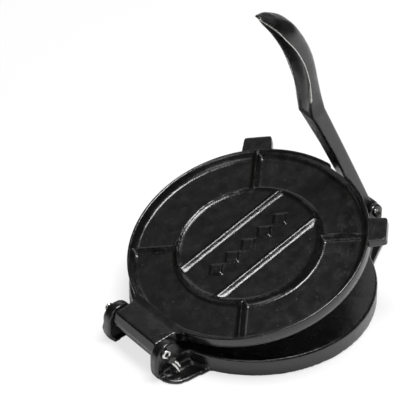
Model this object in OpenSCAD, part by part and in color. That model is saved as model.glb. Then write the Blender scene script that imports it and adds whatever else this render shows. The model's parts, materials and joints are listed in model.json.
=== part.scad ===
/* [Plates] */
// Diameter of the lid over its rim
lid_d = 206; // [180:1:250]
// How far the base plate stands out beyond the lid
base_lip = 2.5; // [1:0.5:5]
// Height of the base plate
base_h = 17; // [12:0.5:24]
// Thickness of the base plate over its hollow underside
base_t = 8; // [5:0.5:10]
// Width of the base plate's side wall and of the ribs under it
base_wall = 8; // [6:0.5:10]
// Thickness of the lid's plate between its ribs
lid_t = 5.5; // [4:0.5:9]
// Height of the lid's rim over its field
rim_h = 4.7; // [3:0.1:8]
// Width of the rim's flat crest
rim_w = 2.2; // [1:0.1:5]
// Width of the slope inside the rim
rim_slope = 4.4; // [2:0.1:8]
// Gap between the closed lid and the base
lid_gap = 0.4; // [0.3:0.1:2]
// How far the lid stands open as shown, in degrees
lid_open = 15.9; // [8:0.1:60]

/* [Ribs of the lid] */
// Radius of the ring rib, to its crest
ring_r = 60.8; // [45:0.1:75]
// Height of the ribs
rib_h = 3.9; // [2:0.1:7]
// Width of a rib's crest
rib_crest = 2.6; // [1.5:0.1:5]
// Width of a rib at its foot
rib_foot = 9.6; // [6:0.1:14]
// Distance of each straight bar from the middle
bar_off = 21.6; // [16:0.1:30]
// Distance from one plain lozenge to the next
lozenge_pitch = 18; // [14:0.5:28]
// Length and width of a plain lozenge
lozenge_w = 15.5; // [8:0.5:18]
// Height of the plain lozenges between the bars
lozenge_h = 1; // [0.5:0.1:2]

/* [Tabs, pad and nose of the lid] */
// How far the two side tabs stand out of the rim
tab_out = 16; // [8:0.5:24]
// Width of a side tab
tab_w = 26; // [18:0.5:34]
// Thickness of a side tab
tab_t = 8; // [5:0.5:9]
// Angle of the tabs from the front
tab_angle = 44; // [35:1:60]
// Half width of the front pad
pad_half = 16; // [10:0.5:20]
// How far the nose stands out of the rim
nose_out = 0.9; // [0.5:0.1:1.5]
// Depth of the notch in the nose that lets the handle's shaft by, from the rim
notch = 1.3; // [1:0.1:2]
// Gap at each side of the shaft in the notch
notch_gap = 0.5; // [0.4:0.1:1]
// Width of the nose at each side of its notch
horn_w = 3; // [2:0.5:5]

/* [Hinge] */
// Diameter of the hinge rod
hinge_rod_d = 8; // [6:0.5:10]
// Radial clearance of a rod in its bores
rod_clear = 0.05; // [0.02:0.01:0.1]
// Distance from the base plate's edge to the hinge axis
hinge_out = 15.5; // [15.5:0.5:22]
// Height of the hinge axis over the base plate
hinge_up = 3.2; // [2.5:0.1:6]
// Width of the lid's neck
neck_w = 53.4; // [40:0.2:60]
// Radius of the lid's barrel
barrel_r = 11.3; // [9:0.1:12]
// Gap at each side of the neck
neck_gap = 0.5; // [0.4:0.1:1.5]
// Thickness of a hinge ear
ear_t = 9; // [7:0.5:12]
// Radius of a hinge ear
ear_r = 13.2; // [11:0.1:14]
// How far a hinge ear's foot spreads
foot_out = 15.5; // [8:0.5:16]
// Thickness of a hinge ear's foot
foot_t = 3.6; // [2:0.1:3.8]
// How far a hinge ear's heel is cut away at the table, and up to what height
heel = 5; // [3:0.5:8]
heel_h = 8.5; // [6:0.5:12]

/* [Front bracket] */
// Gap between the lid's notch and the handle as the lid swings past it
lid_pass = 0.3; // [0.3:0.1:4]
// Height of the handle's pivot over the base plate
pivot_up = 14.5; // [12:0.5:20]
// Diameter of the pivot rod
pivot_rod_d = 6; // [5:0.5:8]
// Radius of a bracket lug
lug_r = 8; // [7:0.1:10]
// Thickness of a bracket lug
lug_t = 6; // [5:0.5:9]
// Gap at each side of the handle's eye
eye_gap = 0.5; // [0.4:0.1:1.5]
// Gap round the barrel and the eye where the base plate makes way for them
turn_gap = 1.2; // [0.8:0.1:2.5]

/* [Handle] */
// Length of the handle from its pivot to its tip
arm_l = 293; // [240:1:352]
// Length of the straight shaft
shaft_l = 152; // [125:1:170]
// How far the shaft leans toward the hinge, in degrees
arm_lean = 24.6; // [20:0.1:25]
// Width of the shaft at its eye
eye_w = 10.2; // [8:0.1:14]
// Width of the shaft where the grip starts
shaft_w = 21.2; // [14:0.2:22]
// Depth of the shaft
shaft_t = 12.5; // [10:0.1:13.5]
// How far the shaft's middle stands from its pivot, toward the hinge
shaft_off = 1.75; // [0.4:0.05:2]
// Radius of the handle's eye
eye_r = 7.8; // [7:0.1:10]
// Width of the grip
grip_w = 30; // [22:0.5:32]
// Thickness of the grip
grip_t = 15; // [12:0.5:20]
// Depth of the hollow on the grip's inner side
dish = 6.5; // [3:0.5:9]
// Height of the step where the grip starts
grip_step = 1; // [0.5:0.1:4]

/* [Split pins] */
// Wire diameter of the hinge rod's split pins, both legs together
hinge_pin_d = 3.2; // [2.4:0.2:4]
// Length of the hinge split pins' legs beyond the rod's axis
hinge_pin_l = 15.5; // [10:0.5:16]
// Wire diameter of the pivot rod's split pins, both legs together
pivot_pin_d = 2.4; // [1.6:0.2:3]
// Length of the pivot split pins' legs beyond the rod's axis
pivot_pin_l = 11; // [8:0.5:14]
// Gap between a split pin and the casting beside it
pin_gap = 0.5; // [0.3:0.1:1.5]
// Length of rod beyond a split pin
rod_tail = 2; // [1.2:0.1:4]

/* [Hidden] */
$fn = 64;
// How deep pieces of one casting run into each other
weld = 0.5;
// Drops of the lowest and highest edges, where the castings are rounded off
edge = 2.4;
small_edge = 0.8;
lidR = lid_d / 2;
baseR = lidR + base_lip;
lid_z0 = base_h + lid_gap;
field_z = lid_z0 + lid_t;
rim_z = field_z + rim_h;
nose_drop = 1.6;
rim_in = lidR - rim_w;
rim_foot = rim_in - rim_slope;
// Half width of a rib where it is sunk into the field
rib_root = rib_foot / 2 + (rib_foot - rib_crest) / 2 * weld / rib_h;
bar_half = sqrt(ring_r * ring_r - bar_off * bar_off);
lozenge_n = floor((bar_half - rib_foot) / lozenge_pitch);
hx = -(baseR + hinge_out);
hz = base_h + hinge_up;
pz = base_h + pivot_up;
inner0 = shaft_t / 2 + shaft_off;
// The pivot stands where the shaft clears the circle that the notch's top edge runs on
notch_half = shaft_w / 2 + notch_gap;
nose_reach = norm([lidR - notch - hx, rim_z - hz]);
px = hx + (nose_reach + lid_pass + inner0 - (pz - hz) * sin(arm_lean)) / cos(arm_lean);
neck_h = neck_w / 2;
ear_y = neck_h + neck_gap;
ear_o = ear_y + ear_t;
hinge_pin_y = ear_o + hinge_pin_d / 2 + pin_gap;
rod_end = hinge_pin_y + hinge_pin_d / 2 + rod_tail;
lug_y = eye_w / 2 + eye_gap;
lug_o = lug_y + lug_t;
pivot_pin_y = lug_o + pivot_pin_d / 2 + pin_gap;
pivot_end = pivot_pin_y + pivot_pin_d / 2 + rod_tail;
// Thickness of the bracket's foot, and how far its foot and its web spread from the lugs
front_t = 6;
front_spread = 9;
web_spread = 3.5;

// A point on a circle about the plates' middle
function polar(r, a) = [r * cos(a), r * sin(a)];
// A plan outline mirrored about the X axis
function both(p) = concat(p, [for (i = [len(p) - 1 : -1 : 0]) [p[i][0], -p[i][1]]]);
// A solid with its outline in the XZ plane, from y0 to y1
module side(y0, y1) { translate([0, y1, 0]) rotate([90, 0, 0]) linear_extrude(y1 - y0) children(); }
// A cylinder along Y
module across(x, z, r, y0, y1) { translate([x, y1, z]) rotate([90, 0, 0]) cylinder(h = y1 - y0, r = r); }
// A flat plate with its outline in plan, from z0 to z1
module plate(z0, z1, p) { translate([0, 0, z0]) linear_extrude(z1 - z0) polygon(p); }
// A rib's section, standing on the field and sunk into it
function rib_section(x) = [[x - rib_root, field_z - weld], [x + rib_root, field_z - weld],
    [x + rib_crest / 2, field_z + rib_h], [x - rib_crest / 2, field_z + rib_h]];
// A straight rib along X from x0 to x1
module rib(x0, x1) {
    translate([x0, 0, 0]) rotate([90, 0, 90]) linear_extrude(x1 - x0) polygon(rib_section(0));
}

// The ears' and the bracket's webs run into the base plate's wall at these places
ear_out = polar(baseR, 150);
ear_in = polar(baseR * 0.92, 151);
ear_back = [-baseR + base_wall, ear_y];
ear_front = hx + ear_r - 1;
ear_heel = hx - ear_r + heel;
ear_foot = [[ear_heel, ear_y], [ear_heel + 0.5, ear_o], [ear_heel + 1.6, ear_o + foot_out * 0.33],
    [ear_heel + 5.8, ear_o + foot_out * 0.8], [ear_heel + 14, ear_o + foot_out], ear_out, ear_in, ear_back];
ear_root = [[ear_front, ear_y], [ear_front - 1, ear_o + foot_out * 0.7], ear_out, ear_in];
ear_web = [[ear_front, ear_y], [ear_front, ear_o], [ear_front + 9, ear_o + 7], ear_out, ear_in, ear_back];
front_foot = both([polar(baseR * 0.97, 29), [baseR + 1, lug_o + front_spread * 2.6],
    [px + 2, lug_o + front_spread], [px + lug_r, lug_o]]);
front_web = both([polar(baseR * 0.96, 26), [baseR + 2, lug_o + front_spread * 1.8],
    [px - 4, lug_o + web_spread], [px + lug_r - 1, lug_o]]);

// An ear's outline: its round head, and the heel that draws in toward the table
module ear_outline() {
    translate([hx, hz]) circle(r = ear_r);
    polygon(concat([[hx - ear_r, hz]],
        [for (k = [0 : 5]) let (u = k / 5) [hx - ear_r + heel * u * u, heel_h * (1 - u)]],
        [[-baseR + base_wall, 0], [-baseR + base_wall, base_h], [ear_front, base_h], [hx + ear_r, hz]]));
}
module ear(s) {
    side(s > 0 ? ear_y : -ear_o, s > 0 ? ear_o : -ear_y) ear_outline();
    mirror([0, s > 0 ? 0 : 1, 0]) {
        plate(0, foot_t, ear_foot);
        hull() {
            plate(0, foot_t, ear_root);
            plate(0, base_h, ear_web);
        }
    }
}
module bracket() {
    hull() {
        plate(0, front_t, front_foot);
        plate(0, base_h, front_web);
    }
    for (s = [-1, 1]) side(s > 0 ? lug_y : -lug_o, s > 0 ? lug_o : -lug_y) {
        translate([px, pz]) circle(r = lug_r);
        polygon([[px - lug_r, pz], [px - lug_r - 3, base_h - 1],
            [px + lug_r - 0.6, base_h - 1], [px + lug_r, pz]]);
    }
}
// Hollow underside: a middle pocket round a boss, and four pockets between radial ribs
module underside() {
    difference() {
        translate([0, 0, -1]) cylinder(h = base_h - base_t + 1, r = ring_r - base_wall / 2);
        translate([0, 0, -2]) cylinder(h = base_h, r = base_wall + 1);
    }
    difference() {
        translate([0, 0, -1]) cylinder(h = base_h - base_t + 1, r = baseR - base_wall);
        translate([0, 0, -2]) cylinder(h = base_h, r = ring_r + base_wall / 2);
        for (a = [45, 135]) rotate([0, 0, a]) translate([-baseR, -base_wall / 2, -2])
            cube([2 * baseR, base_wall, base_h]);
    }
}
module base() color("#2b2b2b") difference() {
    union() {
        rotate_extrude($fn = 120) polygon([[0, 0], [baseR - edge, 0], [baseR - 0.9, 0.6], [baseR - 0.2, 2.2],
            [baseR, base_h - edge], [baseR - 0.5, base_h - small_edge], [baseR - 1.7, base_h], [0, base_h]]);
        ear(1);
        ear(-1);
        bracket();
    }
    across(hx, hz, barrel_r + turn_gap, -ear_y, ear_y);
    across(px, pz, eye_r + turn_gap, -lug_y, lug_y);
    across(hx, hz, hinge_rod_d / 2 + rod_clear, -ear_o - 1, ear_o + 1);
    across(px, pz, pivot_rod_d / 2 + rod_clear, -lug_o - 1, lug_o + 1);
    underside();
}

module lid_plate() rotate_extrude($fn = 120)
    polygon([[0, lid_z0], [lidR - 2.2, lid_z0], [lidR - 0.9, lid_z0 + small_edge], [lidR - 0.5, lid_z0 + 2],
        [lidR, rim_z - 1.4], [lidR - 0.5, rim_z - 0.3], [lidR - 1, rim_z],
        [rim_in, rim_z], [rim_foot, field_z], [0, field_z]]);
module lid_ribs() {
    rotate_extrude($fn = 120) polygon(rib_section(ring_r));
    for (a = [45, 135, 225, 315]) rotate([0, 0, a]) rib(ring_r, rim_in - 1);
    for (s = [-1, 1]) translate([0, s * bar_off, 0]) rib(-bar_half, bar_half);
    for (i = [-lozenge_n : lozenge_n]) translate([i * lozenge_pitch, 0, 0])
        plate(field_z - weld, field_z + lozenge_h, [for (a = [0, 90, 180, 270]) polar(lozenge_w / 2, a)]);
}
module tab() plate(rim_z - 0.3 - tab_t, rim_z - 0.3,
    both([[lidR - 2.2, tab_w / 2 + 1], [lidR + tab_out - 4, tab_w / 2 - 0.6],
        [lidR + tab_out - 1.2, tab_w / 2 - 1.8], [lidR + tab_out, tab_w / 2 - 4.5]]));
// The flat pad inside the rim and the nose outside it, where the handle bears
module front_pad() {
    side(-pad_half, pad_half) polygon([[rim_foot - 1, field_z], [rim_in - 2, rim_z - 0.2],
        [rim_in, rim_z - 0.2], [rim_in, field_z - 1], [rim_foot - 1, field_z - 1]]);
    side(-notch_half - horn_w, notch_half + horn_w) polygon([[lidR - 3, rim_z - 8], [lidR + nose_out - 0.6, rim_z - 7],
        [lidR + nose_out, rim_z - 5.5], [lidR + nose_out, rim_z - nose_drop],
        [lidR + nose_out - 0.9, rim_z - 0.7], [lidR - 3, rim_z - 0.7]]);
}
// The neck runs into the lid's wall, and flares there
module neck() {
    across(hx, hz, barrel_r, -neck_h, neck_h);
    side(-neck_h, neck_h) polygon([[-lidR + 10, lid_z0], [-baseR - 1.5, lid_z0],
        [hx + barrel_r * 0.8, hz - barrel_r * 0.55], [hx, hz - 3], [hx - 2.5, hz + barrel_r],
        [-lidR, rim_z], [-lidR + 10, rim_z - 0.6]]);
    plate(lid_z0, rim_z - 0.6, both([[-lidR + 12, neck_h + 10], [-lidR + 5.7, neck_h + 6],
        [-lidR + 2.6, neck_h + 2.6], [-lidR - 2, neck_h + 0.5], [-lidR - 5, neck_h]]));
}
// The lid as cast, lying shut
module shut_lid() difference() {
    union() {
        lid_plate();
        lid_ribs();
        for (s = [-1, 1]) rotate([0, 0, s * tab_angle]) tab();
        front_pad();
        neck();
    }
    across(hx, hz, hinge_rod_d / 2 + rod_clear, -neck_h - 1, neck_h + 1);
    side(-notch_half, notch_half) polygon([[lidR - notch, lid_z0 - 1], [lidR + nose_out + 1, lid_z0 - 1],
        [lidR + nose_out + 1, rim_z + 1], [lidR - notch, rim_z + 1]]);
}
module lid() color("#333333")
    translate([hx, 0, hz]) rotate([0, -lid_open, 0]) translate([-hx, 0, -hz]) shut_lid();

// The grip's rim line beyond the shaft, as rows of
// [share of the grip's length, offset toward the hinge, share of its width, share of its thickness]
grip_l = arm_l - shaft_l;
rim_ctl = [
    [0, inner0 + grip_step, 0.67, 0.915],
    [0.1, inner0 - 2.8, 0.71, 0.86],
    [0.227, inner0 - 7.6, 0.785, 0.845],
    [0.362, inner0 - 10.3, 0.84, 0.95],
    [0.504, inner0 - 11.5, 0.905, 0.995],
    [0.66, inner0 - 9.9, 0.98, 0.98],
    [0.787, inner0 - 6.5, 0.99, 0.93],
    [0.887, inner0 - 3.4, 0.8, 0.77],
    [0.95, inner0 - 0.6, 0.42, 0.42],
    [1, inner0 + 2, 0.1, 0.14]];
// A smooth curve through p1 and p2
function catmull(p0, p1, p2, p3, t) = 0.5 * (2 * p1 + (p2 - p0) * t
    + (2 * p0 - 5 * p1 + 4 * p2 - p3) * t * t + (3 * p1 - p0 - 3 * p2 + p3) * t * t * t);
function ctl(i) = rim_ctl[max(0, min(len(rim_ctl) - 1, i))];
// Rows of the whole arm: [distance along the arm, rim offset, half width, thickness]
function grip_row(i, t) = let (r = catmull(ctl(i - 1), ctl(i), ctl(i + 1), ctl(i + 2), t))
    [shaft_l + r[0] * grip_l, r[1], r[2] * grip_w / 2, r[3] * grip_t];
// The shaft's half width at the eye is a little under the eye's own
eye_half = eye_w / 2 - 0.2;
widen = (shaft_w - eye_w) / 2;
shaft_rows = [[0, inner0, eye_half, shaft_t], [12, inner0, eye_half, shaft_t],
    [shaft_l / 3, inner0, eye_half + widen * 0.42, shaft_t],
    [shaft_l * 2 / 3, inner0, eye_half + widen * 0.74, shaft_t],
    [shaft_l - 1.5, inner0, shaft_w / 2, shaft_t + 0.4]];
ns0 = len(shaft_rows);
nc = len(rim_ctl);
rows = concat(shaft_rows, [for (i = [0 : nc - 2]) for (k = [0 : 3]) grip_row(i, k / 4)], [grip_row(nc - 2, 1)]);
nr = len(rows);
function unit(v) = v / norm(v);
// The arm's direction at a row
function tangent(i) = i <= ns0 ? [1, 0] : let (a = rows[max(ns0, i - 1)], b = rows[min(nr - 1, i + 1)])
    unit([b[0] - a[0], b[1] - a[1]]);
// The hollow's depth at a row
function dish_at(i) = let (u = (rows[i][0] - shaft_l - 7) / (grip_l - 12))
    u <= 0 || u >= 1 ? 0 : min(dish * pow(sin(180 * u), 0.6), rows[i][3] / 2);
// A section: the rounded back from one rim to the other, then the inner face with its hollow
function back(a, w, t, p, q) = [w * sign(cos(a)) * pow(abs(cos(a)), p), t * pow(sin(a), q)];
function section(i) = let (w = rows[i][2], t = rows[i][3], d = dish_at(i), flat = i < ns0)
    concat([for (a = [0 : 20 : 180]) flat ? back(a, w, t, 0.28, 0.28) : back(a, w, t, 0.5, 0.7)],
        [for (k = [-3 : 3]) let (f = k / 3) [(w - min(1.5, w * 0.3)) * f, d * (1 - f * f)]]);
ns = len(section(0));
function placed(i) = let (g = tangent(i))
    [for (q = section(i)) [rows[i][0] + g[1] * q[1], q[0], rows[i][1] - g[0] * q[1]]];
// From the arm's own frame (along, width, toward the hinge) to the model's
function arm_pt(p) = [px - p[0] * sin(arm_lean) - p[2] * cos(arm_lean), p[1],
    pz + p[0] * cos(arm_lean) - p[2] * sin(arm_lean)];
function end_mid(i) = let (g = tangent(i), t = rows[i][3] / 2)
    arm_pt([rows[i][0] + g[1] * t, 0, rows[i][1] - g[0] * t]);
function skin(a, b) = [[a, b, a + ns], [b, b + ns, a + ns]];

module arm() polyhedron(
    points = concat([for (i = [0 : nr - 1]) for (q = placed(i)) arm_pt(q)], [end_mid(0), end_mid(nr - 1)]),
    faces = concat(
        [for (k = [0 : ns - 1]) [(k + 1) % ns, k, nr * ns]],
        [for (i = [0 : nr - 2]) for (k = [0 : ns - 1]) each skin(i * ns + k, i * ns + (k + 1) % ns)],
        [for (k = [0 : ns - 1]) [(nr - 1) * ns + k, (nr - 1) * ns + (k + 1) % ns, nr * ns + 1]]),
    convexity = 6);
module handle() color("#3a3a3a") difference() {
    union() {
        arm();
        across(px, pz, eye_r, -eye_w / 2, eye_w / 2);
    }
    across(px, pz, pivot_rod_d / 2 + rod_clear, -eye_w, eye_w);
}

// A rod along Y with a cross hole at each end, a degrees below the front
bevel = 0.8;
module rod(x, z, d, e, py, pd, a) difference() {
    union() {
        across(x, z, d / 2, -e + bevel, e - bevel);
        for (s = [-1, 1]) translate([x, s * (e - bevel), z]) rotate([s * -90, 0, 0])
            cylinder(h = bevel, r1 = d / 2, r2 = d / 2 - bevel);
    }
    for (s = [-1, 1]) translate([x, s * py, z]) rotate([0, 90 + a, 0]) translate([0, 0, -d])
        cylinder(h = 2 * d, r = pd / 2 + rod_clear, $fn = 32);
}
// A split pin through a rod's cross hole: an eye, a shank and two spread legs, one shorter
spread = 9;
leg_step = 2.6;
module split_pin(x, y, z, rodr, pd, l, a) translate([x, y, z]) rotate([0, 90 + a, 0]) {
    translate([0, 0, -rodr - 0.4]) cylinder(h = 2 * rodr + 1.4, r = pd / 2, $fn = 32);
    translate([0, 0, -rodr - 0.4 - pd * 0.72]) rotate([90, 0, 0]) rotate_extrude($fn = 40)
        translate([pd * 0.72, 0]) circle(r = pd / 4, $fn = 20);
    for (s = [-1, 1]) translate([s * pd * 0.22, 0, rodr + 0.6]) rotate([0, s * spread, 0])
        cylinder(h = l - rodr - 0.6 - (s > 0 ? 0 : leg_step), r = pd * 0.245, $fn = 20);
}
hinge_pin_a = 62;
pivot_pin_a = 70;
module hinge_pin(s) color("#d0d0d0")
    split_pin(hx, s * hinge_pin_y, hz, hinge_rod_d / 2, hinge_pin_d, hinge_pin_l, hinge_pin_a);
module pivot_pin(s) color("#d0d0d0")
    split_pin(px, s * pivot_pin_y, pz, pivot_rod_d / 2, pivot_pin_d, pivot_pin_l, pivot_pin_a);
module hinge_rod() color("#b8b8b8") rod(hx, hz, hinge_rod_d, rod_end, hinge_pin_y, hinge_pin_d, hinge_pin_a);
module hinge_pin_near() hinge_pin(-1);
module hinge_pin_far() hinge_pin(1);
module pivot_rod() color("#b8b8b8") rod(px, pz, pivot_rod_d, pivot_end, pivot_pin_y, pivot_pin_d, pivot_pin_a);
module pivot_pin_near() pivot_pin(-1);
module pivot_pin_far() pivot_pin(1);

base();
lid();
handle();
hinge_rod();
hinge_pin_near();
hinge_pin_far();
pivot_rod();
pivot_pin_near();
pivot_pin_far();
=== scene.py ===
# Hand press in cast iron: detailed castings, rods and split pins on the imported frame
import bmesh
import bpy
import json
import math
from mathutils import Matrix, Vector, noise


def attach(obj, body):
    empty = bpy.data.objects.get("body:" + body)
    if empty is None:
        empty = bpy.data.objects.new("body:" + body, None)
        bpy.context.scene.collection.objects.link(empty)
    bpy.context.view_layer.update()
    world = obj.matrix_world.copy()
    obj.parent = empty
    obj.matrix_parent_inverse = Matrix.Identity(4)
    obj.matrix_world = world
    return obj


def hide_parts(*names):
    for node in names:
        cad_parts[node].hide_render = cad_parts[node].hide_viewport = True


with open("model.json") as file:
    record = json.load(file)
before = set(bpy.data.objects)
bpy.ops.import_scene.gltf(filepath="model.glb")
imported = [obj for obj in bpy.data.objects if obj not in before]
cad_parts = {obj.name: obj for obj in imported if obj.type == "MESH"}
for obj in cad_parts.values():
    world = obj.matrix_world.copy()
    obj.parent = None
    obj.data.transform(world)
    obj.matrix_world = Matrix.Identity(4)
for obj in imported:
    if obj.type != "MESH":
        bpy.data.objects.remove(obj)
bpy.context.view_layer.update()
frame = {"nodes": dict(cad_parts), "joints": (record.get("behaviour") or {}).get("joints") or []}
joints = {j["name"]: Vector(j["pos_m"]) * 1000 for j in frame["joints"]}  # millimetres from here on
hinge, pivot = joints["lid_lift"], joints["lever_fold_back"]
print("frame loaded, hinge at", hinge, "and lever at", pivot)

finish = {"scale": 0.001, "merge": 2e-6}  # millimetres to metres, and how near two corners are joined


def face(bm, points):
    return bm.faces.new([bm.verts.new(p) for p in points])


def pull(bm, part, move):  # extrudes a face, shifts the new end and gives it back
    new = bmesh.ops.extrude_face_region(bm, geom=[part])["geom"]
    bmesh.ops.translate(bm, verts=[v for v in new if isinstance(v, bmesh.types.BMVert)], vec=move)
    return next(f for f in new if isinstance(f, bmesh.types.BMFace))


def block(bm, points, move):  # a closed block from a flat outline
    pull(bm, face(bm, points), move)


def loft(bm, sections):  # a closed body through outlines with as many points each
    end = face(bm, sections[0])
    for below, above in zip(sections, sections[1:]):
        left, end = end, pull(bm, end, (0, 0, 0))
        if below is not sections[0]:  # past the foot, the face left behind would be a wall inside the body
            bmesh.ops.delete(bm, geom=[left], context="FACES_ONLY")
        for v in list(end.verts):
            v.co = above[min(range(len(below)), key=lambda i: (Vector(below[i]) - v.co).length_squared)]


def acrossBlock(bm, points, y0, y1):  # an outline in the XZ plane, between two places across the press
    block(bm, [(x, y0, z) for x, z in points], (0, y1 - y0, 0))


def arc(centre, radius, count, end):  # points about a joint in the XZ plane, from its front up to an angle
    turns = [math.radians(end * i / count) for i in range(count + 1)]
    return [(centre.x + radius * math.cos(a), centre.z + radius * math.sin(a)) for a in turns]


def mirrored(points):  # half an outline with its other half across the press
    return points + [(x, -y) for x, y in reversed(points)]


def lathe(bm, points, steps):  # (radius, height) points turned about Z
    verts = [bm.verts.new((r, 0, z)) for r, z in points]
    edges = [bm.edges.new(pair) for pair in zip(verts, verts[1:])]
    bmesh.ops.spin(bm, geom=verts + edges, axis=(0, 0, 1), cent=(0, 0, 0), angle=math.tau,
                   steps=steps, use_merge=True, use_duplicate=False)
    bmesh.ops.remove_doubles(bm, verts=bm.verts, dist=1e-3)


def rodShape(bm, centre, radius, half, steps=64):  # a plain round bar across the press, half to each side
    place = Matrix.Translation((centre.x, 0, centre.z)) @ Matrix.Rotation(math.radians(90), 4, "X")
    bmesh.ops.create_cone(bm, cap_ends=True, segments=steps, radius1=radius, radius2=radius,
                          depth=2 * half, matrix=place)


def newObject(name, data):
    thing = bpy.data.objects.new(name, data)
    bpy.context.scene.collection.objects.link(thing)
    return thing


def meshOf(bm, name):  # an object in millimetres, faces outwards
    bmesh.ops.recalc_face_normals(bm, faces=bm.faces)
    mesh = bpy.data.meshes.new(name)
    bm.to_mesh(mesh)
    bm.free()
    return newObject(name, mesh)


def bake(thing):  # applies the modifiers
    graph = bpy.context.evaluated_depsgraph_get()
    mesh = bpy.data.meshes.new_from_object(thing.evaluated_get(graph))
    thing.modifiers.clear()
    old, thing.data = thing.data, mesh
    bpy.data.meshes.remove(old)


def soften(thing, voxel, rounds):  # fuses overlapping blocks into one skin with the soft corners of a casting
    remesh = thing.modifiers.new("skin", "REMESH")
    remesh.mode, remesh.voxel_size, remesh.adaptivity = "VOXEL", voxel, 0
    bake(thing)
    bm = bmesh.new()
    bm.from_mesh(thing.data)
    for _ in range(rounds):
        bmesh.ops.smooth_vert(bm, verts=bm.verts, factor=0.5,
                              use_axis_x=True, use_axis_y=True, use_axis_z=True)
    bm.to_mesh(thing.data)
    bm.free()
    return thing


def combine(thing, other, operation):
    cut = thing.modifiers.new("combine", "BOOLEAN")
    cut.operation, cut.object, cut.solver = operation, other, "EXACT"
    bake(thing)
    bpy.data.objects.remove(other)


def finishPiece(thing, body, node, material, sharp=38.0, place=Matrix.Identity(4)):
    bm = bmesh.new()
    bm.from_mesh(thing.data)
    bmesh.ops.transform(bm, matrix=Matrix.Scale(finish["scale"], 4) @ place, verts=bm.verts)
    bmesh.ops.remove_doubles(bm, verts=bm.verts, dist=finish["merge"])
    bmesh.ops.dissolve_degenerate(bm, edges=bm.edges, dist=finish["merge"])
    for f in bm.faces:
        f.smooth = True
    for e in bm.edges:
        e.smooth = e.calc_face_angle(0.0) < math.radians(sharp)
    bm.to_mesh(thing.data)
    bm.free()
    thing.data.materials.clear()
    thing.data.materials.append(material)
    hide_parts(node)
    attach(thing, body)
    print(thing.name, len(thing.data.polygons), "faces")


def linear(hexColour):  # sRGB hex to the renderer's linear values
    parts = [int(hexColour[i:i + 2], 16) / 255 for i in (1, 3, 5)]
    return [c / 12.92 if c < 0.04045 else ((c + 0.055) / 1.055) ** 2.4 for c in parts] + [1.0]


def emptyTree(owner):  # the cleared node tree of a material or a world
    owner.use_nodes = True
    owner.node_tree.nodes.clear()
    return owner.node_tree


def addNode(tree, kind, settings=None, links=None):  # settings and links by socket name or number
    node = tree.nodes.new(kind)
    for key, value in (settings or {}).items():
        if isinstance(key, int) or key in node.inputs:
            node.inputs[key].default_value = value
        else:
            setattr(node, key, value)
    for key, source in (links or {}).items():
        tree.links.new(source, node.inputs[key])
    return node


# Sand-cast iron, oiled and baked black: satin, pebbly from the sand, with odd nibs that catch the light.
# The grain, lumps and nibs are as many millimetres apart, and the swell is the height of the lumps
iron = {"dark": "#090909", "light": "#121211", "ior": 1.6, "grain": 1.2, "lump": 9.0, "nibs": 4.5,
        "swell": 0.12}


def castIron(name, gloss, relief, nibs):  # relief and nibs are heights in millimetres
    material = bpy.data.materials.new(name)
    tree = emptyTree(material)
    place = addNode(tree, "ShaderNodeTexCoord").outputs["Object"]
    grain = addNode(tree, "ShaderNodeTexNoise",
                    {"Scale": 1000 / iron["grain"], "Detail": 2.0, "Roughness": 0.55}, {"Vector": place})
    lumps = addNode(tree, "ShaderNodeTexNoise",
                    {"Scale": 1000 / iron["lump"], "Detail": 4.0, "Roughness": 0.55}, {"Vector": place})
    cells = addNode(tree, "ShaderNodeTexVoronoi", {"Scale": 1000 / iron["nibs"]}, {"Vector": place})
    dots = addNode(tree, "ShaderNodeMapRange", {"From Min": 0.1, "From Max": 0.02},
                   {"Value": cells.outputs["Distance"]})
    tone = addNode(tree, "ShaderNodeMapRange", {"From Min": 0.3, "From Max": 0.7},
                   {"Value": lumps.outputs["Fac"]})
    colour = addNode(tree, "ShaderNodeMix",
                     {"data_type": "RGBA", 6: linear(iron["dark"]), 7: linear(iron["light"])},
                     {0: tone.outputs["Result"]})
    rough = addNode(tree, "ShaderNodeMapRange",
                    {"From Min": 0.3, "From Max": 0.7, "To Min": gloss - 0.05, "To Max": gloss + 0.07},
                    {"Value": lumps.outputs["Fac"]})
    pebbles = addNode(tree, "ShaderNodeBump", {"Strength": 1.0, "Distance": relief / 1000},
                      {"Height": grain.outputs["Fac"]})
    specks = addNode(tree, "ShaderNodeBump", {"Strength": 1.0, "Distance": nibs / 1000},
                     {"Height": dots.outputs["Result"], "Normal": pebbles.outputs["Normal"]})
    swell = addNode(tree, "ShaderNodeBump", {"Strength": 1.0, "Distance": iron["swell"] / 1000},
                    {"Height": lumps.outputs["Fac"], "Normal": specks.outputs["Normal"]})
    shader = addNode(tree, "ShaderNodeBsdfPrincipled", {"IOR": iron["ior"]},
                     {"Base Color": colour.outputs[2], "Roughness": rough.outputs["Result"],
                      "Normal": swell.outputs["Normal"]})
    addNode(tree, "ShaderNodeOutputMaterial", links={"Surface": shader.outputs["BSDF"]})
    return material


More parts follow.
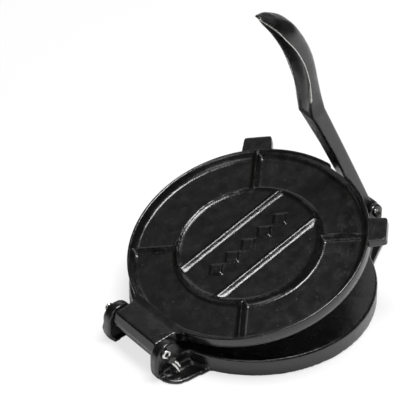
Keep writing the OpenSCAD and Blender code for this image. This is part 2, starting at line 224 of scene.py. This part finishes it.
def brightSteel(name, colours, gloss, mark):  # mark is the size of the marks or patches in millimetres
    material = bpy.data.materials.new(name)
    tree = emptyTree(material)
    place = addNode(tree, "ShaderNodeTexCoord").outputs["Object"]
    marks = addNode(tree, "ShaderNodeTexNoise", {"Scale": 1000 / mark, "Detail": 3.0}, {"Vector": place})
    share = addNode(tree, "ShaderNodeMapRange", {"From Min": 0.35, "From Max": 0.65},
                    {"Value": marks.outputs["Fac"]})
    tint = addNode(tree, "ShaderNodeMix",
                   {"data_type": "RGBA", 6: linear(colours[0]), 7: linear(colours[1])},
                   {0: share.outputs["Result"]})
    rough = addNode(tree, "ShaderNodeMapRange", {"To Min": gloss - 0.05, "To Max": gloss + 0.08},
                    {"Value": share.outputs["Result"]})
    bump = addNode(tree, "ShaderNodeBump", {"Strength": 0.3, "Distance": 0.06 / 1000},
                   {"Height": marks.outputs["Fac"]})
    shader = addNode(tree, "ShaderNodeBsdfPrincipled", {"Metallic": 1.0},
                     {"Base Color": tint.outputs[2], "Roughness": rough.outputs["Result"],
                      "Normal": bump.outputs["Normal"]})
    addNode(tree, "ShaderNodeOutputMaterial", links={"Surface": shader.outputs["BSDF"]})
    return material


plateIron = castIron("seasoned sand-cast iron, plates", 0.23, 0.12, 0.13)
# The lever is fettled smoother where the hand holds it
leverIron = castIron("seasoned sand-cast iron, lever", 0.30, 0.05, 0.03)
# Drawn mild steel bar, darkened by oil and heat: small dull marks on grey
rodSteel = brightSteel("drawn mild steel", ("#3c3c3a", "#545452"), 0.34, 0.9)
# Zinc-plated steel wire: bright, with small dull patches
pinZinc = brightSteel("zinc-plated steel wire", ("#d2d2cf", "#f0f0ed"), 0.24, 1.4)
# Painted highlight: a thin near-white line along the lip of the grip, standing in for light on its rounded
# edge
paintedLipHighlight = brightSteel("cast iron with painted lip highlight", ("#b8b8b4", "#d8d8d4"), 0.28, 1.1)
print("materials made")


# The base: a plate hollow underneath, two ears for the hinge and a bracket with two lugs for the lever.
# Edge steps run inwards and down. The ear's heel is back from the hinge, the lug's back and foot along from
# the pivot, and their second values are heights
base = {"radius": 105.8, "height": 17.0, "hollow": 9.0, "wall": 8.0, "boss": 9.0, "ring": 60.8, "corner": 0.5,
        "edge": [(0, 1.4), (0.4, 0.4), (1.2, 0)], "steps": 240, "ribEnd": 4, "bury": 1,
        "earIn": 27.2, "earOut": 36.2, "earRadius": 13.2, "earTurn": 190, "bore": 4.05, "boreHalf": 40,
        "earHeel": [(13.2, 14.0), (13.0, 9.0), (12.2, 5.2), (11.0, 2.4), (10.0, 0.0)],
        "earToe": (-96, -104, -107), "earRise": 0.8,
        "foot": 3.2, "fillet": 6.5, "filletFrom": -125.6, "filletLong": 30, "filletBury": 2.0,
        "filletLow": 0.5,
        "lugIn": 5.6, "lugOut": 11.6, "lugRadius": 8.0, "lugBore": 3.05, "lugBoreHalf": 14,
        "lugBack": [(-8.2, 26), (-9.2, 21)], "lugFoot": (-12, 7.2), "bracketFoot": 5.5,
        "voxel": 1.12, "rounds": 4}
# Outlines seen from above: an ear's foot, and half of the bracket at its foot and at the plate's top
footPlan = [(-130.6, 24.0), (-131.2, 33.0), (-130.2, 40.0), (-127.8, 45.4), (-124.6, 49.0), (-120.2, 51.6),
            (-114.6, 52.8), (-105.0, 53.4), (-92.0, 54.4), (-84.0, 46.0), (-97.0, 27.2)]
bracketPlan = [(89.5, 49.6), (98.0, 42.5), (106.5, 35.5), (118.0, 28.0), (130.0, 20.6), (134.5, 15.0),
               (136.0, 9.0)]
bracketTop = [(91.5, 43.5), (99.5, 34.5), (107.5, 27.0), (116.0, 19.5), (124.0, 14.5), (131.0, 12.0),
              (134.8, 9.0)]


def sweep(low, high, foot, head):  # outlines of a hollow sweep from the top of a foot up to a wall
    rows = [[Vector((x, y, 0)) for x, y in low]]
    for share, rise in [(0.0, 0.0), (0.45, 0.06), (0.72, 0.2), (0.9, 0.48), (1.0, 1.0)]:
        rows.append([Vector((a[0] + (b[0] - a[0]) * share, a[1] + (b[1] - a[1]) * share,
                             foot + (head - foot) * rise)) for a, b in zip(low, high)])
    return rows


def hollowCorner(radius, foot, bury, low):  # a concave fillet as (distance from the wall, height) points
    turns = [math.radians(10 * k) for k in range(10)]
    curve = [(radius - radius * math.sin(a), foot + radius - radius * math.cos(a)) for a in turns]
    return [(-bury, low), (radius, low)] + curve + [(-bury, foot + radius)]


outer, plateTop, wall = base["radius"], base["height"], base["wall"]
ringIn, ringOut = base["ring"] - wall / 2, base["ring"] + wall / 2
bm = bmesh.new()
lathe(bm, [(0, 0), (base["boss"], 0), (base["boss"], base["hollow"]), (ringIn, base["hollow"]), (ringIn, 0),
           (ringOut, 0), (ringOut, base["hollow"]), (outer - wall, base["hollow"]), (outer - wall, 0),
           (outer - base["corner"], 0), (outer, base["corner"])] +
      [(outer - inwards, plateTop - down) for inwards, down in base["edge"]] + [(0, plateTop)], base["steps"])
ribPlan = mirrored([(base["ring"], -wall / 2), (outer - base["ribEnd"], -wall / 2)])
for turn in (45, 135, 225, 315):  # ribs under the plate
    spot = Matrix.Rotation(math.radians(turn), 3, "Z")
    block(bm, [spot @ Vector((x, y, 0)) for x, y in ribPlan], (0, 0, base["hollow"] + base["bury"]))

toeIn, toeTop, toeEnd = base["earToe"]
earSide = arc(hinge, base["earRadius"], 30, base["earTurn"])
earSide += [(hinge.x - away, z) for away, z in base["earHeel"]]
earSide += [(toeIn, 0), (toeIn, plateTop), (toeTop, plateTop), (toeEnd, plateTop + base["earRise"])]
lugSide = arc(pivot, base["lugRadius"], 20, 180) + [(pivot.x + x, z) for x, z in base["lugBack"]]
lugSide += [(pivot.x + x, plateTop - base["bury"]) for x in base["lugFoot"]]
earCorner = hollowCorner(base["fillet"], base["foot"], base["filletBury"], base["filletLow"])
for side in (-1, 1):
    acrossBlock(bm, earSide, side * base["earIn"], side * base["earOut"])
    block(bm, [(x, y * side, 0) for x, y in footPlan], (0, 0, base["foot"]))
    block(bm, [(base["filletFrom"], side * (base["earOut"] + away), z) for away, z in earCorner],
          (base["filletLong"], 0, 0))
    acrossBlock(bm, lugSide, side * base["lugIn"], side * base["lugOut"])
loft(bm, sweep(mirrored(bracketPlan), mirrored(bracketTop), base["bracketFoot"], plateTop))
basePiece = soften(meshOf(bm, "baseCasting"), base["voxel"], base["rounds"])

# The softening leaves ripples, so the plate's top, wall and floor are trued: how far off a point may be, and
# the edges that keep their softness
trued = {"top": 0.3, "wall": 0.45, "floor": 0.35, "edgeIn": 2.2, "edgeDown": 1.2, "edgeUp": 0.3}
bm = bmesh.new()
bm.from_mesh(basePiece.data)
for v in bm.verts:
    reach = math.hypot(v.co.x, v.co.y)
    if abs(v.co.z - plateTop) < trued["top"] and reach < outer - trued["edgeIn"]:
        v.co.z = plateTop
    if abs(reach - outer) < trued["wall"] and trued["edgeUp"] < v.co.z < plateTop - trued["edgeDown"]:
        v.co.x, v.co.y = v.co.x * outer / reach, v.co.y * outer / reach
    if v.co.z <= trued["floor"]:
        v.co.z = 0.0
bm.to_mesh(basePiece.data)
bm.free()
bm = bmesh.new()
rodShape(bm, hinge, base["bore"], base["boreHalf"])
rodShape(bm, pivot, base["lugBore"], base["lugBoreHalf"])
combine(basePiece, meshOf(bm, "bores"), "DIFFERENCE")
finishPiece(basePiece, "base", "base", plateIron)


# The lid, made shut and then swung up. Its relief's heights are over the outer field.
# Edge steps run inwards from the wall, and down from the rim or up from the underside
lid = {"radius": 104.5, "under": 17.4, "field": 22.4, "middle": 2.9, "open": 15.9,
       "rim": 6.2, "rimWidth": 2.2, "rimSlope": 4.0, "rimRound": 1.0, "edgeRound": 0.6,
       "ring": 61.3, "crest": 0.3, "foot": 3.3, "rib": 4.9, "ribShift": 2.8, "ribRound": 1.4,
       "bars": 23.6, "bar": 2.7, "fillet": 3.2, "barFillet": 1.8, "fadeFrom": 4, "fadeOver": 8,
       "lozenge": 7.75, "lozengeHeight": 1.4, "lozengeSlope": 0.9, "lozengesAside": 2, "lozengeReach": 50,
       "pitch": 18.0, "padFrom": 80, "padHalf": 17.5, "padDrop": 0.2, "padFoot": 1.2, "padSlope": 1.35,
       "padSide": 1.6, "padRound": 0.9, "uneven": 0.22, "unevenSize": 7, "ripple": 0.1, "rippleSize": 2.5,
       "topEdge": [(0.5, 0.12), (0.15, 0.4), (0, 0.9)], "fieldEnd": 0.9, "fieldEdge": 0.8,
       "underEdge": [(0.1, 0.9), (0.4, 0.4), (0.9, 0.1), (1.5, 0)], "underRings": (70, 35, 0),
       "turns": 500, "row": 0.75, "level": 1e-4}
# What stands out of the lid's wall. The tab's steps run out from the wall or from its end, and over its half
# width, and the horn's run inwards and down from the rim
lidLugs = {"neck": 26.7, "neckBack": -108, "neckFront": (-102.5, -107, -103.5), "neckRise": 0.1,
           "slabIn": 1.0, "slabTurn": 15, "tab": 14.5, "tabWidth": 26.0, "tabThick": 8.0, "tabDrop": 0.3,
           "tabTurn": {45.0: 0.0, -45.0: 4.0}, "tabRoot": [(-2.2, 0.4), (2, 0.1)],
           "tabEnd": [(-2.0, -0.8), (-0.5, -1.6), (0, -3.2)],
           "notch": 101.2, "notchHalf": 11.1, "notchOut": 4, "notchOver": 2, "horn": 3.0, "boreHalf": 30,
           "hornSide": [(3, 8), (1.0, 7), (0.2, 5.5), (0.2, 1.6), (0.8, 0.6), (3, 0.6)],
           "voxel": 0.65, "rounds": 3}
# The barrel's outline from the hinge, and the flare of the neck into the wall seen from above
barrel = [(8.6, -6.6), (5, -8.4), (0, -9), (-4, -8.4), (-7, -5.6), (-8.4, -1.6), (-8.6, 2), (-8, 5.6),
          (-3.6, 11.9), (-2.4, 12.1)]
flare = [(-97.5, 34.5), (-99.6, 32.6), (-101.8, 30.0), (-104.5, 27.8), (-109.0, 26.7)]


def lesser(a, b, k):  # the smaller height, with the corner between the two rounded over k
    blend = max(k - abs(a - b), 0) / k
    return min(a, b) - blend * blend * k / 4


def greater(a, b, k):
    return -lesser(-a, -b, k)


def ridge(d, height):  # a rib's height at a distance from its middle
    return lesser(height, (lid["foot"] - abs(d)) * height / (lid["foot"] - lid["crest"]), lid["ribRound"])


def lidRelief(x, y):  # height over the outer field: rim, ring, ribs, bars, pad and lozenges with soft fillets
    wobble = (lid["uneven"] * noise.noise(Vector((x, y, 0)) / lid["unevenSize"]) +
              lid["ripple"] * noise.noise(Vector((x, y, 5)) / lid["rippleSize"]))
    reach = math.hypot(x, y) + wobble
    rimFoot = lid["radius"] - lid["rimWidth"] - lid["rimSlope"]
    slope = lid["rib"] / (lid["foot"] - lid["crest"])
    heights = [lesser(lid["rim"], (reach - rimFoot) * lid["rim"] / lid["rimSlope"], lid["rimRound"]),
               ridge(reach - lid["ring"], lid["rib"]),
               lesser(lid["middle"], (lid["ring"] - reach) * slope, lid["edgeRound"])]
    if reach > lid["ring"]:
        heights.append(ridge((x + y) / math.sqrt(2) + wobble - lid["ribShift"], lid["rib"]))
        heights.append(ridge((x - y) / math.sqrt(2) + wobble, lid["rib"]))
    else:
        heights.append(lid["middle"] + ridge(abs(y) - lid["bars"] + wobble, lid["bar"]))
    if x > lid["padFrom"]:
        aside = (lid["padHalf"] - abs(y)) * lid["padSide"]
        front = (x - rimFoot + lid["padFoot"] + wobble) * lid["padSlope"]
        padTop = lesser(lid["rim"] - lid["padDrop"], aside, lid["padRound"])
        heights.append(lesser(front, padTop, lid["padRound"]))
    if reach < lid["lozengeReach"]:
        most = lid["lozengesAside"]
        nearest = round(max(-most, min(most, x / lid["pitch"]))) * lid["pitch"]
        edge = (lid["lozenge"] - abs(x - nearest) - abs(y)) * lid["lozengeSlope"]
        heights.append(lid["middle"] + lesser(lid["lozengeHeight"], edge, lid["edgeRound"]))
    inside = max(0.0, min(1.0, (lid["ring"] - lid["fadeFrom"] - reach) / lid["fadeOver"]))
    fillet = lid["fillet"] + (lid["barFillet"] - lid["fillet"]) * inside
    height = 0.0
    for one in heights:
        height = greater(height, one, fillet)
    return height


outer, under, field = lid["radius"], lid["under"], lid["field"]
rimTop = field + lid["rim"]
fieldEnd = outer - lid["fieldEnd"]
rows = int(fieldEnd / lid["row"])
bm = bmesh.new()
lathe(bm, [(fieldEnd * i / rows, field) for i in range(rows + 1)] +
      [(outer - inwards, rimTop - down) for inwards, down in lid["topEdge"]] +
      [(outer, (rimTop + under) / 2)] +
      [(outer - inwards, under + rise) for inwards, rise in lid["underEdge"]] +
      [(ring, under) for ring in lid["underRings"]], lid["turns"])
for v in bm.verts:  # raises the relief out of the level field
    if abs(v.co.z - field) < lid["level"] and math.hypot(v.co.x, v.co.y) < outer - lid["fieldEdge"]:
        v.co.z = field + lidRelief(v.co.x, v.co.y)
lidPiece = meshOf(bm, "lidCasting")

bm = bmesh.new()
neckTop = rimTop + lidLugs["neckRise"]
neckIn, neckLow, neckHigh = lidLugs["neckFront"]
neckSide = [(neckIn, under), (neckLow, under)] + [(hinge.x + x, hinge.z + z) for x, z in barrel]
neckSide += [(neckHigh, neckTop), (neckIn, neckTop)]
acrossBlock(bm, neckSide, -lidLugs["neck"], lidLugs["neck"])
slabReach, slabTurn = outer - lidLugs["slabIn"], lidLugs["slabTurn"]
slab = [(-slabReach * math.cos(math.radians(t)), slabReach * math.sin(math.radians(t)))
        for t in range(-slabTurn, slabTurn + 1, 3)]
slab = [(lidLugs["neckBack"], -lidLugs["neck"])] + slab + [(lidLugs["neckBack"], lidLugs["neck"])]
block(bm, [(x, y, under) for x, y in slab], (0, 0, neckTop - under))
block(bm, [(x, y, under) for x, y in mirrored(flare)], (0, 0, rimTop - under))

halfTab = lidLugs["tabWidth"] / 2
tab = [(outer + out, halfTab + over) for out, over in lidLugs["tabRoot"]]
tab += [(outer + lidLugs["tab"] + out, halfTab + over) for out, over in lidLugs["tabEnd"]]
tabLow = rimTop - lidLugs["tabDrop"] - lidLugs["tabThick"]
for turn, shift in lidLugs["tabTurn"].items():
    spot = Matrix.Rotation(math.radians(turn), 3, "Z")
    plan = [spot @ Vector((x, y + shift, tabLow)) for x, y in mirrored(tab)]
    block(bm, plan, (0, 0, lidLugs["tabThick"]))
hornHalf = lidLugs["notchHalf"] + lidLugs["horn"]
hornSide = [(outer - inwards, rimTop - down) for inwards, down in lidLugs["hornSide"]]
acrossBlock(bm, hornSide, -hornHalf, hornHalf)
combine(lidPiece, soften(meshOf(bm, "lidLugs"), lidLugs["voxel"], lidLugs["rounds"]), "UNION")

bm = bmesh.new()
rodShape(bm, hinge, base["bore"], lidLugs["boreHalf"])
notchOut, notchLow = outer + lidLugs["notchOut"], under - lidLugs["notchOver"]
notchHigh = rimTop + lidLugs["notchOver"]
acrossBlock(bm, [(lidLugs["notch"], notchLow), (notchOut, notchLow), (notchOut, notchHigh),
                 (lidLugs["notch"], notchHigh)], -lidLugs["notchHalf"], lidLugs["notchHalf"])
combine(lidPiece, meshOf(bm, "boreAndNotch"), "DIFFERENCE")
swing = Matrix.Rotation(math.radians(-lid["open"]), 4, "Y")
finishPiece(lidPiece, "lid", "lid", plateIron,
            place=Matrix.Translation(hinge) @ swing @ Matrix.Translation(-hinge))


# The lever: shaft and grip are one loft, and the eye is fused to its foot.
# A pair goes from its first value to its second, over the distance or share that is named beside it
lever = {"length": 288.2, "shaft": 152.0, "lean": 24.6, "gripWidth": 30.0, "gripThick": 15.0, "row": 3.0,
         "shaftEnd": (150.8, 151.9), "gripStart": 0.4, "blendFrom": 150, "turnOver": 26,
         "squareSide": (0.26, 0.62), "squareBack": (0.26, 0.82), "squareOver": 45,
         "lip": (1.7, 0.5), "lipOver": 30, "lipMost": 0.3, "lipCut": 0.3,
         "dish": 6.5, "dishMost": 0.55, "dishFrom": 9, "dishLoss": 13, "dishEnds": 0.55, "dishSides": 0.75,
         "land": (0.55, 0.985), "landOver": 0.3, "backSteps": 24, "dishSteps": 8,
         "eye": 8.5, "eyeHalf": 5.1, "eyeSteps": 48, "eyeBevel": 0.9, "boreHalf": 8,
         # the last two values: how near the lips the painted highlight is laid, and from how far along the
         # lever it starts
         "highlightWidth": 1.1, "highlightFrom": 172}
lean = math.radians(lever["lean"])
# The grip's rim: share of its length, place toward the hinge, share of its width and of its thickness
gripLine = [(0, 10.6, 0.697, 1.013), (0.1, 7.1, 0.65, 0.975), (0.227, 1.6, 0.734, 0.88),
            (0.362, -1.7, 0.877, 0.892), (0.504, -3.2, 0.976, 0.965), (0.66, -1.8, 1.079, 1.013),
            (0.787, 1.5, 1.108, 1.031), (0.887, 3.8, 0.842, 0.631), (0.95, 6.7, 0.494, 0.329),
            (1, 8.8, 0.18, 0.134)]
# The shaft: distance along, inner face toward the hinge, half width and thickness
shaftLine = [(0, 8.0, 4.9, 12.5), (12, 8.0, 4.9, 12.5), (50.7, 8.0, 7.2, 12.5), (101.3, 8.1, 8.95, 12.7),
             (128, 9.1, 9.8, 13.7), (151.9, 10.0, 10.45, 14.6)]


def curveThrough(rows, t):  # a smooth curve through four rows, between the middle two
    return [0.5 * (2 * b + (c - a) * t + (2 * a - 5 * b + 4 * c - d) * t * t
                   + (3 * b - a - 3 * c + d) * t ** 3) for a, b, c, d in zip(*rows)]


def ease(pair, t):  # from the first value to the second, slow at both ends
    t = max(0.0, min(1.0, t))
    return pair[0] + (pair[1] - pair[0]) * t * t * (3 - 2 * t)


leverRows = []  # distance along, inner face or rim toward the hinge, half width, thickness
for start, end in zip(shaftLine, shaftLine[1:]):
    count = max(2, round((end[0] - start[0]) / lever["row"] / 2))
    leverRows += [[a + (b - a) * k / count for a, b in zip(start, end)] for k in range(count)]
leverRows += [[far, *shaftLine[-1][1:]] for far in lever["shaftEnd"]]
shaftCount = len(leverRows)
gripLong = lever["length"] - lever["shaft"]
lastSpan = len(gripLine) - 2
for i in range(lastSpan + 1):
    near = [gripLine[max(0, min(lastSpan + 1, i + k))] for k in (-1, 0, 1, 2)]
    count = max(2, round((near[2][0] - near[1][0]) * gripLong / lever["row"]))
    for k in range(count + (i == lastSpan)):
        share, rim, width, thick = curveThrough(near, k / count)
        leverRows.append([lever["shaft"] + lever["gripStart"] + share * (gripLong - lever["gripStart"]), rim,
                          width * lever["gripWidth"] / 2, thick * lever["gripThick"]])


def leverSection(i):  # the outline at a row: a rounded back, two lips and the dished face toward the hinge
    far, rim, wide, thick = leverRows[i]
    along = Vector((1.0, 0.0))
    if i > shaftCount:  # the sections turn with the rim, slowly at first so that the back stays even
        before, after = leverRows[i - 1], leverRows[min(len(leverRows) - 1, i + 1)]
        turned = ease((0.0, 1.0), (far - lever["shaft"]) / lever["turnOver"])
        along = Vector((after[0] - before[0], (after[1] - before[1]) * turned)).normalized()
    past = far - lever["blendFrom"]
    squareSide = ease(lever["squareSide"], past / lever["squareOver"])
    squareBack = ease(lever["squareBack"], past / lever["squareOver"])
    lip = min(ease(lever["lip"], past / lever["lipOver"]), wide * lever["lipMost"])
    reach = (far - lever["shaft"] - lever["dishFrom"]) / (gripLong - lever["dishLoss"])
    dish = 0.0
    if 0 < reach < 1:
        dish = min(lever["dish"] * math.sin(math.pi * reach) ** lever["dishEnds"],
                   thick * lever["dishMost"])
    land = ease(lever["land"], reach / lever["landOver"])
    points = []
    steps = lever["backSteps"]
    for k in range(steps + 1):
        across = math.cos(math.pi * k / steps)
        bulge = math.sin(math.pi * k / steps) ** squareBack if 0 < k < steps else 0.0
        points.append((math.copysign(wide * abs(across) ** squareSide, across), lip + (thick - lip) * bulge))
    cut = lip * lever["lipCut"]
    points.append((-wide + cut, cut))
    for k in range(-lever["dishSteps"], lever["dishSteps"] + 1):
        share = k / lever["dishSteps"]
        inner = max(0.0, 1 - (share / land) ** 2)
        points.append(((wide - lip) * share, dish * inner ** lever["dishSides"]))
    points.append((wide - cut, cut))
    section = []
    for y, deep in points:
        up, toHinge = far + along[1] * deep, rim - along[0] * deep
        section.append(Vector((pivot.x - up * math.sin(lean) - toHinge * math.cos(lean), y,
                               pivot.z + up * math.cos(lean) - toHinge * math.sin(lean))))
    return section


bm = bmesh.new()
loft(bm, [leverSection(i) for i in range(len(leverRows))])
leverPiece = meshOf(bm, "leverCasting")
smooth = leverPiece.modifiers.new("smooth", "SUBSURF")
smooth.levels = smooth.render_levels = 1
bake(leverPiece)
bm = bmesh.new()
rodShape(bm, pivot, lever["eye"], lever["eyeHalf"], lever["eyeSteps"])
rims = [e for e in bm.edges if e.calc_face_angle(0) > 1]  # the sharp edges of its two ends
bmesh.ops.bevel(bm, geom=rims, offset=lever["eyeBevel"], affect="EDGES", segments=3, profile=0.5,
                material=-1)
combine(leverPiece, meshOf(bm, "leverEye"), "UNION")
bm = bmesh.new()
rodShape(bm, pivot, base["lugBore"], lever["boreHalf"])
combine(leverPiece, meshOf(bm, "leverBore"), "DIFFERENCE")
finishPiece(leverPiece, "handle", "handle", leverIron)
leverPiece.data.materials.append(paintedLipHighlight)
for part in leverPiece.data.polygons:  # painted highlight: the lips of the hollow get the bright colour, up to the tip
    spot = part.center * 1000 - pivot
    far = spot.z * math.cos(lean) - spot.x * math.sin(lean)
    toHinge = -spot.z * math.sin(lean) - spot.x * math.cos(lean)
    _, rim, wide, _ = min(leverRows, key=lambda row: abs(row[0] - far))
    if far > lever["highlightFrom"] and rim - toHinge < lever["highlightWidth"] and abs(spot.y) > wide - lever["highlightWidth"]:
        part.material_index = 1


for node in ("hinge_rod", "pivot_rod"):  # the rods keep their shape and get a better finish
    steel = frame["nodes"][node]
    steel.data.materials.clear()
    steel.data.materials.append(rodSteel)


# Split pins through the ends of the rods: place across the press, the rod's radius, wire, legs and how far
# each pin is turned about its rod
splitPins = {"hingePin": {"joint": hinge, "across": 38.7, "rod": 4.0, "wire": 2.5, "length": 15.5, "turn": 58,
                          "node": "hinge_pin_", "body": "hinge_pins"},
             "leverPin": {"joint": pivot, "across": 13.4, "rod": 3.0, "wire": 1.1, "length": 11.0, "turn": 70,
                          "node": "pivot_pin_", "body": "lever_pins"}}


def splitPin(name, pin, side, node):
    # Folded wire: one leg up through the rod, round the eye and back down, the ends bent apart and outward.
    # Points are across the pin, out along the rod and down the legs
    rod, wire, length = pin["rod"], pin["wire"], pin["length"]
    eye, gap = wire * 1.25, wire * 0.52
    eyeMiddle = -rod - 0.4 - eye
    path = [(gap + 1.2, side * 4.6, length - 0.6), (gap + 0.6, side * 3.4, length - 2.8),
            (gap + 0.2, side * 1.6, rod + 2.5), (gap, 0, rod), (gap, 0, -rod)]
    path += [(eye * math.sin(a), 0, eyeMiddle + eye * math.cos(a)) for a in
             [math.radians(25 + 310 * k / 16) for k in range(17)]]
    path += [(-gap, 0, -rod), (-gap, 0, rod), (-gap, side * 1.4, rod + 2.5),
             (-gap + 0.1, side * 2.8, length - 4.4), (-gap + 0.1, side * 3.6, length - 3.0)]
    curve = bpy.data.curves.new(name, "CURVE")
    curve.dimensions, curve.bevel_depth, curve.bevel_resolution = "3D", wire / 2, 4
    curve.use_fill_caps = True
    curve.resolution_u = 6
    spline = curve.splines.new("NURBS")
    spline.points.add(len(path) - 1)
    for point, (across, out, down) in zip(spline.points, path):
        point.co = (across, out, down, 1)
    spline.use_endpoint_u, spline.order_u = True, 3
    bent = newObject(name, curve)
    mesh = bpy.data.meshes.new_from_object(bent.evaluated_get(bpy.context.evaluated_depsgraph_get()))
    bpy.data.objects.remove(bent)
    centre = Vector((pin["joint"].x, side * pin["across"], pin["joint"].z))
    place = Matrix.Translation(centre) @ Matrix.Rotation(math.radians(90 + pin["turn"]), 4, "Y")
    finishPiece(newObject(name, mesh), pin["body"], node, pinZinc, 50, place)


for side, word in ((-1, "near"), (1, "far")):
    for name, pin in splitPins.items():
        splitPin(name + "_" + word, pin, side, pin["node"] + word)


# The camera, in degrees and metres. Its focal length and the shifts of its aim are in units of which the
# frame is 400 wide
view = {"azimuth": -40.07, "elevation": 39.65, "roll": 0.73, "distance": 2.89475, "target": (0, 0, 0.030),
        "focal": 3406.11, "right": 53.35, "down": 67.36, "width": 400, "sensor": 36.0, "far": 50}
azimuth, elevation, roll = (math.radians(view[key]) for key in ("azimuth", "elevation", "roll"))
back = Vector((math.sin(azimuth) * math.cos(elevation), -math.cos(azimuth) * math.cos(elevation),
               math.sin(elevation)))
right = Vector((math.cos(azimuth), math.sin(azimuth), 0))
up = back.cross(right)
right, up = right * math.cos(roll) + up * math.sin(roll), up * math.cos(roll) - right * math.sin(roll)
toward = (-back * view["focal"] - right * view["right"] + up * view["down"]).normalized()
across = toward.cross(up).normalized()
facing = Matrix((across, across.cross(toward), -toward)).transposed().to_4x4()
camera = bpy.data.cameras.new("camera")
camera.sensor_width, camera.lens = view["sensor"], view["focal"] / view["width"] * view["sensor"]
camera.clip_end = view["far"]
eyePoint = newObject("camera", camera)
eyePoint.matrix_world = Matrix.Translation(Vector(view["target"]) + back * view["distance"]) @ facing
bpy.context.scene.camera = eyePoint

# Matt white paper: seen directly it is mostly its own white, and the rest is lit, which keeps the shadow
ground = {"radius": 3.0, "drop": 0.0005, "colour": "#f2f2f2", "ownWhite": 0.72}
bm = bmesh.new()
bmesh.ops.create_circle(bm, cap_ends=True, segments=96, radius=ground["radius"])
floorMesh = bpy.data.meshes.new("floor")
bm.to_mesh(floorMesh)
bm.free()
floor = newObject("floor", floorMesh)
floor.location.z = -ground["drop"]
paper = bpy.data.materials.new("white paper")
tree = emptyTree(paper)
matt = addNode(tree, "ShaderNodeBsdfDiffuse", {"Color": linear(ground["colour"])})
white = addNode(tree, "ShaderNodeEmission", {"Color": (1, 1, 1, 1), "Strength": 1.0})
rays = addNode(tree, "ShaderNodeLightPath")
share = addNode(tree, "ShaderNodeMath", {"operation": "MULTIPLY", 1: ground["ownWhite"]},
                {0: rays.outputs["Is Camera Ray"]})
blended = addNode(tree, "ShaderNodeMixShader", links={"Fac": share.outputs["Value"], 1: matt.outputs["BSDF"],
                                                      2: white.outputs["Emission"]})
addNode(tree, "ShaderNodeOutputMaterial", links={"Surface": blended.outputs["Shader"]})
floorMesh.materials.append(paper)

# A dim studio room that looks white where the camera sees it
room = {"colour": "#ffffff", "light": 0.05, "seen": 1.0}
world = bpy.data.worlds.new("studio")
bpy.context.scene.world = world
tree = emptyTree(world)
rays = addNode(tree, "ShaderNodeLightPath")
dim = addNode(tree, "ShaderNodeBackground", {"Color": linear(room["colour"]), "Strength": room["light"]})
plain = addNode(tree, "ShaderNodeBackground", {"Color": linear(room["colour"]), "Strength": room["seen"]})
picked = addNode(tree, "ShaderNodeMixShader",
                 links={"Fac": rays.outputs["Is Camera Ray"], 1: dim.outputs["Background"],
                        2: plain.outputs["Background"]})
addNode(tree, "ShaderNodeOutputWorld", links={"Surface": picked.outputs["Shader"]})

# Softboxes: where each hangs and points, its size in metres and its power in watts
softboxes = {
    "overhead": {"place": (0.18, -0.1, 1.7), "aim": (0, 0, 0), "size": (0.6, 0.78), "power": 32},
    "behind": {"place": (0.2, 1.5, 2.0), "aim": (0, 0, 0.05), "size": (1.8, 1.2), "power": 0.6},
    "low behind": {"place": (1.15, 1.35, 1.15), "aim": (0.05, 0, 0.02), "size": (1.5, 0.7), "power": 3.0},
    "front": {"place": (-1.3, -1.5, 1.7), "aim": (0, 0, 0.05), "size": (1.4, 1.0), "power": 12}}
for name, box in softboxes.items():
    lamp = bpy.data.lights.new(name, "AREA")
    lamp.shape, lamp.energy = "RECTANGLE", box["power"]
    lamp.size, lamp.size_y = box["size"]
    thing = newObject(name, lamp)
    thing.location = box["place"]
    thing.rotation_mode = "QUATERNION"
    thing.rotation_quaternion = (Vector(box["aim"]) - Vector(box["place"])).to_track_quat("-Z", "Y")
bpy.context.scene.view_settings.view_transform = "Standard"
print("scene ready")
